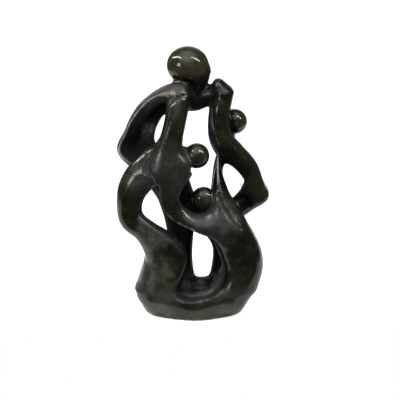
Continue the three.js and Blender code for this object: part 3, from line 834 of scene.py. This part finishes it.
# A soft-edged spot round a place: 1 at its middle, 0 beyond its reach, broken up by a noise
def makeSpot():
    group, given, out = newGroup(
        "softSpot",
        [("Place", "NodeSocketVector", None), ("Middle", "NodeSocketVector", None),
         ("Reach", "NodeSocketFloat", 0.04), ("Breakup", "NodeSocketFloat", 0.5)],
        [("Spot", "NodeSocketFloat")])
    gap = addNode(group, "ShaderNodeVectorMath", {0: given["Place"], 1: given["Middle"]},
                  operation="DISTANCE").outputs["Value"]
    share = maths(group, "DIVIDE", gap, given["Reach"])
    noise = addNode(group, "ShaderNodeTexNoise", {"Vector": given["Place"], "Scale": 55.0, "Detail": 4.0})
    shift = maths(group, "MULTIPLY", maths(group, "SUBTRACT", noise.outputs[0], 0.5), given["Breakup"])
    share = maths(group, "ADD", share, shift)
    group.links.new(mapRange(group, share, *effects["spotRange"]), out["Spot"])
    return group


clouds, flecks, rubbing, spots = makeClouds(), makeFlecks(), makeRubbing(), makeSpot()

# Colours are as the light leaves the stone, without its gloss
stoneLook = {
    "cloudScale": 13.0,
    "patchScale": 60.0,
    "fleckScale": 600.0,
    "black": (0.004, 0.0045, 0.003, 1),
    "green": (0.017, 0.017, 0.008, 1),
    "olive": (0.055, 0.055, 0.018, 1),
    "olivePatches": 0.25,  # share of the olive colour in the patches
    "flecks": 0.42,  # and in the light flecks
    "darkFlecks": 0.4,
    "rust": (0.085, 0.062, 0.032, 1),
    "rustShare": 0.8,
    "rustPlace": (-0.045, 0.0, 0.345),  # middle of the stained bed, in metres
    "rustTilt": (0.0, math.radians(-25), 0.0),
    "rustReach": (0.10, 0.10, 0.035),
    "rustRange": (1.0, 0.2),  # shares of its reach over which the stain comes up
    "rustLeast": 0.5,  # strength of the stain between the clouds
    "rustRoughness": 0.38,
    "smooth": 0.13,  # roughness where the polish is best, and where it is dullest
    "dull": 0.24,
    "hollowRange": (0.14, 0.55),  # how closed in a place is when it counts as inside a hollow
    "wallShadeShare": 0.9,
    "paintedShadeInside": 0.88,  # how far painted shade darkens an inside towards black, and how much rougher it is
    "insideDull": 0.7,
    "headTone": (0.074, 0.066, 0.038, 1),
    "headLeast": 0.35,  # strength of the heads' tone between the patches
    "headRange": (0.2, 0.5),
    "headRoughness": 0.10,
    "pale": (0.6, 0.6, 0.53, 1),
    "rimWearAndHighlight": (0.4, 0.8),  # share of the pale colour on the sharp rims, painted highlight and edge wear both, between the patches and in them
    "waveDepth": 0.0008,  # metres of bump for the whole height range
    "refraction": 1.54,
    "grey": (0.085, 0.086, 0.078, 1),
    "greyDeep": (0.040, 0.041, 0.033, 1),  # the same between its lighter patches
    "paleGrey": (0.40, 0.40, 0.36, 1),
    "paleOlive": (0.125, 0.12, 0.08, 1),
    "breakup": 0.6,  # how ragged the next ones' edges are
    # where the stone differs: colour, middle in metres, reach, strength, roughness. The black ones are
    # painted shade, under the neck, on the fin's flank, under the right arm's bend and under its forearm;
    # the grey and pale ones are painted sheen and reflected light on the chest, the left mass, the face
    # below the fin, the foot, the bowl's floor and the left window's back wall, most of them with a duller
    # finish as well.
    "paintedLightPatches": [
        ("grey", (-0.030, -0.055, 0.224), 0.050, 0.6, 0.36),
        ("grey", (-0.078, -0.045, 0.214), 0.030, 0.7, 0.16),
        ("paleOlive", (-0.055, -0.050, 0.072), 0.038, 0.6, 0.36),
        ("grey", (0.038, -0.055, 0.154), 0.044, 0.9, 0.32),
        ("paleGrey", (0.012, 0.002, 0.034), 0.045, 0.95, 0.3),
        ("paleGrey", (-0.060, 0.025, 0.272), 0.024, 0.9, 0.4),
        ("paleOlive", (-0.070, -0.045, 0.118), 0.036, 1.0, 0.4),
        ("paleOlive", (-0.050, -0.045, 0.012), 0.040, 0.5, 0.3),
        ("paleOlive", (0.050, -0.045, 0.012), 0.030, 0.4, 0.3),
        ("black", (0.010, -0.012, 0.333), 0.036, 0.9, 0.3),
        ("black", (0.036, -0.035, 0.215), 0.030, 0.9, 0.13),
        ("black", (0.050, -0.028, 0.244), 0.028, 0.95, 0.2),
        ("black", (0.075, -0.026, 0.224), 0.020, 0.85, 0.2),
        ("black", (0.074, -0.012, 0.166), 0.032, 0.9, 0.2),
    ],
}


def polishedStone():
    material = bpy.data.materials.new("polishedSoapstone")
    material.use_nodes = True
    tree = material.node_tree
    shader = tree.nodes["Principled BSDF"]
    look = stoneLook
    place = addNode(tree, "ShaderNodeTexCoord").outputs["Object"]
    hollow, wall, ridge, head = (addNode(tree, "ShaderNodeAttribute", attribute_name=mark).outputs["Fac"]
                                 for mark in ("hollow", "wall", "ridge", "head"))
    cloud = useGroup(tree, clouds, {
        "Place": place, "Cloud Scale": look["cloudScale"], "Patch Scale": look["patchScale"]})
    fleck = useGroup(tree, flecks, {"Place": place, "Fleck Scale": look["fleckScale"]})
    rub = useGroup(tree, rubbing, {"Place": place, "Smooth": look["smooth"], "Dull": look["dull"]})

    def tinted(colour, mask, share, tone):
        return mixColour(tree, maths(tree, "MULTIPLY", mask, share), colour, tone)

    # a strength that goes from one value to another as a mask comes up
    def uneven(mask, least, most=1.0):
        return mapRange(tree, mask, 0.0, 1.0, least, most)

    def blend(share, a, b):
        return mapRange(tree, share, 0.0, 1.0, a, b, way="LINEAR")

    colour = mixColour(tree, cloud["Cloud"], look["black"], look["green"])
    colour = tinted(colour, cloud["Patch"], look["olivePatches"], look["olive"])
    bed = addNode(tree, "ShaderNodeMapping", {
        "Vector": place, "Location": look["rustPlace"], "Rotation": look["rustTilt"],
        "Scale": look["rustReach"]}, vector_type="TEXTURE")
    away = addNode(tree, "ShaderNodeVectorMath", {0: bed.outputs[0]}, operation="LENGTH").outputs["Value"]
    stain = mapRange(tree, away, *look["rustRange"])
    stain = maths(tree, "MULTIPLY", stain, uneven(cloud["Cloud"], look["rustLeast"]))
    colour = tinted(colour, stain, look["rustShare"], look["rust"])
    colour = tinted(colour, head, uneven(cloud["Patch"], look["headLeast"]), look["headTone"])
    colour = tinted(colour, fleck["Dark Fleck"], look["darkFlecks"], look["black"])
    colour = tinted(colour, fleck["Fleck"], look["flecks"], look["olive"])

    # painted shade: hollows and the walls of openings are darkened towards black as if in shadow, and made
    # rougher
    inside = mapRange(tree, hollow, *look["hollowRange"])
    inside = maths(tree, "MAXIMUM", inside, maths(tree, "MULTIPLY", wall, look["wallShadeShare"]))
    colour = tinted(colour, inside, look["paintedShadeInside"], look["black"])
    rough = maths(tree, "ADD", rub["Roughness"], maths(tree, "MULTIPLY", inside, look["insideDull"]))
    rough = blend(stain, rough, look["rustRoughness"])

    # painted shade and painted sheen, patch by patch, each with its own roughness
    for tone, middle, reach, strength, dullness in look["paintedLightPatches"]:
        spot = useGroup(tree, spots, {
            "Place": place, "Middle": middle, "Reach": reach, "Breakup": look["breakup"]})
        share = maths(tree, "MULTIPLY", spot["Spot"], strength)
        there = look[tone]
        if tone != "black":
            there = mixColour(tree, cloud["Patch"], look["greyDeep"], there)
        colour = mixColour(tree, share, colour, there)
        rough = blend(share, rough, dullness)

    # painted highlight and edge wear: the sharpest rims are tinted pale
    colour = tinted(colour, ridge, uneven(cloud["Patch"], *look["rimWearAndHighlight"]), look["pale"])
    bright = maths(tree, "MAXIMUM", mapRange(tree, head, *look["headRange"]), ridge)
    rough = blend(bright, rough, look["headRoughness"])
    bump = addNode(tree, "ShaderNodeBump", {
        "Height": rub["Height"], "Strength": 1.0, "Distance": look["waveDepth"]})
    tree.links.new(colour, shader.inputs["Base Color"])
    tree.links.new(rough, shader.inputs["Roughness"])
    tree.links.new(bump.outputs[0], shader.inputs["Normal"])
    shader.inputs["IOR"].default_value = look["refraction"]
    return material


# The underside is sawn flat and never polished
sawnLook = {
    "cloudScale": 20.0,
    "patchScale": 90.0,
    "grey": (0.05, 0.052, 0.042, 1),
    "paleGrey": (0.12, 0.12, 0.10, 1),
    "dark": (0.03, 0.032, 0.025, 1),
    "darkPatches": 0.4,
    "smooth": 0.55,
    "dull": 0.75,
    "sawScale": 180.0,
    "sawDepth": 0.0002,  # metres
}


def sawnStone():
    material = bpy.data.materials.new("sawnSoapstone")
    material.use_nodes = True
    tree = material.node_tree
    shader = tree.nodes["Principled BSDF"]
    look = sawnLook
    place = addNode(tree, "ShaderNodeTexCoord").outputs["Object"]
    cloud = useGroup(tree, clouds, {
        "Place": place, "Cloud Scale": look["cloudScale"], "Patch Scale": look["patchScale"]})
    rub = useGroup(tree, rubbing, {"Place": place, "Smooth": look["smooth"], "Dull": look["dull"]})
    colour = mixColour(tree, cloud["Cloud"], look["grey"], look["paleGrey"])
    paintedLightPatches = maths(tree, "MULTIPLY", cloud["Patch"], look["darkPatches"])
    colour = mixColour(tree, paintedLightPatches, colour, look["dark"])
    tree.links.new(colour, shader.inputs["Base Color"])
    tree.links.new(rub["Roughness"], shader.inputs["Roughness"])
    saw = addNode(tree, "ShaderNodeTexWave", {
        "Vector": place, "Scale": look["sawScale"], "Distortion": 1.5, "Detail": 2.0}, bands_direction="Y")
    bump = addNode(tree, "ShaderNodeBump", {
        "Height": saw.outputs["Fac"], "Strength": 0.5, "Distance": look["sawDepth"]})
    tree.links.new(bump.outputs[0], shader.inputs["Normal"])
    return material


sculpture.data.materials.append(polishedStone())
sculpture.data.materials.append(sawnStone())
onTable = 1e-5  # metres
underside = (points[faces][:, :, 2].max(axis=1) < onTable).astype(np.int32)
sculpture.data.polygons.foreach_set("material_index", underside)
print("materials made,", int(underside.sum()), "faces on the underside")


# The stage, in metres: a pale sweep, flat under the carving and curving up behind it. Its profile in y
# and z is carried straight along x.
stage = {
    "width": 1.7,
    "front": -0.12,
    "bend": 1.3,  # y where it starts to rise
    "radius": 0.8,
    "wall": 2.2,  # z where it ends
    "arcPoints": 25,
    "colour": (0.7, 0.7, 0.7, 1),
    "roughness": 0.9,
    "glow": 0.2,  # light that comes through the paper
    "glowSeen": 0.8,  # the same as the camera sees it, so that the background stays white
}


def makeSweep():
    turn = np.linspace(0, math.pi / 2, stage["arcPoints"])
    arcY = stage["bend"] + stage["radius"] * np.sin(turn)
    arcZ = stage["radius"] * (1 - np.cos(turn))
    profile = np.vstack([
        [[stage["front"], 0]], np.stack([arcY, arcZ], axis=1),
        [[stage["bend"] + stage["radius"], stage["wall"]]]])
    count = len(profile)
    sides = np.repeat([-stage["width"] / 2, stage["width"] / 2], count)
    points = np.column_stack([sides, np.tile(profile, (2, 1))])
    first = np.arange(count - 1)
    faces = np.stack([first, first + count, first + count + 1, first + 1], axis=1)
    sweep = meshPiece("paleFloor", points, faces, {})
    material = bpy.data.materials.new("palePaper")
    material.use_nodes = True
    tree = material.node_tree
    shader = tree.nodes["Principled BSDF"]
    shader.inputs["Base Color"].default_value = stage["colour"]
    shader.inputs["Roughness"].default_value = stage["roughness"]
    shader.inputs["Emission Color"].default_value = (1, 1, 1, 1)
    seen = addNode(tree, "ShaderNodeLightPath").outputs["Is Camera Ray"]
    glow = mapRange(tree, seen, 0.0, 1.0, stage["glow"], stage["glowSeen"], way="LINEAR")
    tree.links.new(glow, shader.inputs["Emission Strength"])
    sweep.data.materials.append(material)
    return sweep


makeSweep()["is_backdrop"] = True


# Lights: each is a soft panel that runs from one direction to another, seen from the carving, in degrees
# round from the front (to the right is more) and up. Then its width in metres, its watts and its colour.
lights = {
    "leftStrip": ((-118, 30), (-38, 50), 0.10, 15, (1, 1, 1)),
    "rightStrip": ((30, 60), (72, 27), 0.09, 11, (1, 1, 1)),
    "lowWindow": ((-52, 13), (-38, 13), 0.40, 4.2, (0.85, 0.92, 1)),
}
lightTarget = (0, 0, 0.2)
lightDistance = 1.6
studioAir = {
    "seen": (1, 1, 1, 1),  # as the camera sees it
    "felt": (0.90, 0.95, 1.0, 1),
    "dim": 0.05,  # strength away from the skylight
    "bright": 1.4,  # strength in the middle of the skylight
    "skylight": (0, 66),  # direction of its middle, as for the lights
    "spread": (0.64, 0.98),  # cosines of the angles off its middle where it begins and is at its full
}


def towards(bearing, rise):
    a, e = math.radians(bearing), math.radians(rise)
    return Vector((math.sin(a) * math.cos(e), -math.cos(a) * math.cos(e), math.sin(e)))


def addLights():
    for name, (start, end, width, watts, colour) in lights.items():
        first, last = towards(*start), towards(*end)
        away = (first + last).normalized()
        along = (last - first).normalized()
        across = away.cross(along)
        data = bpy.data.lights.new(name, "AREA")
        data.shape = "RECTANGLE"
        data.size, data.size_y = (last - first).length * lightDistance, width
        data.energy, data.color = watts, colour
        panel = bpy.data.objects.new(name, data)
        panel.location = Vector(lightTarget) + away * lightDistance
        panel.rotation_mode = "QUATERNION"
        panel.rotation_quaternion = Matrix((along, across, away)).transposed().to_quaternion()
        bpy.context.scene.collection.objects.link(panel)
    world = bpy.data.worlds.new("studioAir")
    world.use_nodes = True
    tree = world.node_tree
    felt = tree.nodes["Background"]
    felt.inputs["Color"].default_value = studioAir["felt"]
    way = addNode(tree, "ShaderNodeTexCoord").outputs["Generated"]
    facing = addNode(tree, "ShaderNodeVectorMath", {0: way, 1: towards(*studioAir["skylight"])},
                     operation="DOT_PRODUCT").outputs["Value"]
    strength = mapRange(tree, facing, *studioAir["spread"], studioAir["dim"], studioAir["bright"])
    tree.links.new(strength, felt.inputs["Strength"])
    seen = addNode(tree, "ShaderNodeBackground", {"Color": studioAir["seen"]})
    which = addNode(tree, "ShaderNodeMixShader", {
        0: addNode(tree, "ShaderNodeLightPath").outputs["Is Camera Ray"],
        1: felt.outputs[0], 2: seen.outputs[0]})
    tree.links.new(which.outputs[0], tree.nodes["World Output"].inputs["Surface"])
    bpy.context.scene.world = world


addLights()
bpy.context.scene.view_settings.view_transform = "Standard"


# The camera: 12 degrees above the horizon, 2.1 m from the middle of the carving. The picture's middle
# lies a little right of the carving's middle and below it.
view = {
    "sensor": 36,
    "pixels": 400,
    "distance": 2.1,
    "rise": 12.0,
    "heightSeen": 0.2,  # height of the point that the distance is measured from
    "pixelSize": 0.0015,  # metres of the carving that one pixel spans at that point
    "seenAt": (191.3, 181.5),  # the pixel where that point shows
}


def addCamera():
    data = bpy.data.cameras.new("studioCamera")
    data.sensor_width = view["sensor"]
    data.lens = data.sensor_width * view["distance"] / (view["pixels"] * view["pixelSize"])
    rise = math.radians(view["rise"])
    middle = Vector((float(cadLow[0] - asLaid[0][0] * fit[0]), 0, view["heightSeen"]))
    camera = bpy.data.objects.new("studioCamera", data)
    camera.location = middle + view["distance"] * Vector((0, -math.cos(rise), math.sin(rise)))
    right = (view["pixels"] / 2 - view["seenAt"][0]) * view["pixelSize"]
    down = (view["pixels"] / 2 - view["seenAt"][1]) * view["pixelSize"]
    aim = middle + Vector((right, -down * math.sin(rise), -down * math.cos(rise)))
    camera.rotation_mode = "QUATERNION"
    camera.rotation_quaternion = (aim - camera.location).to_track_quat("-Z", "Y")
    bpy.context.scene.collection.objects.link(camera)
    bpy.context.scene.camera = camera


addCamera()
print("stage, lights and camera set")
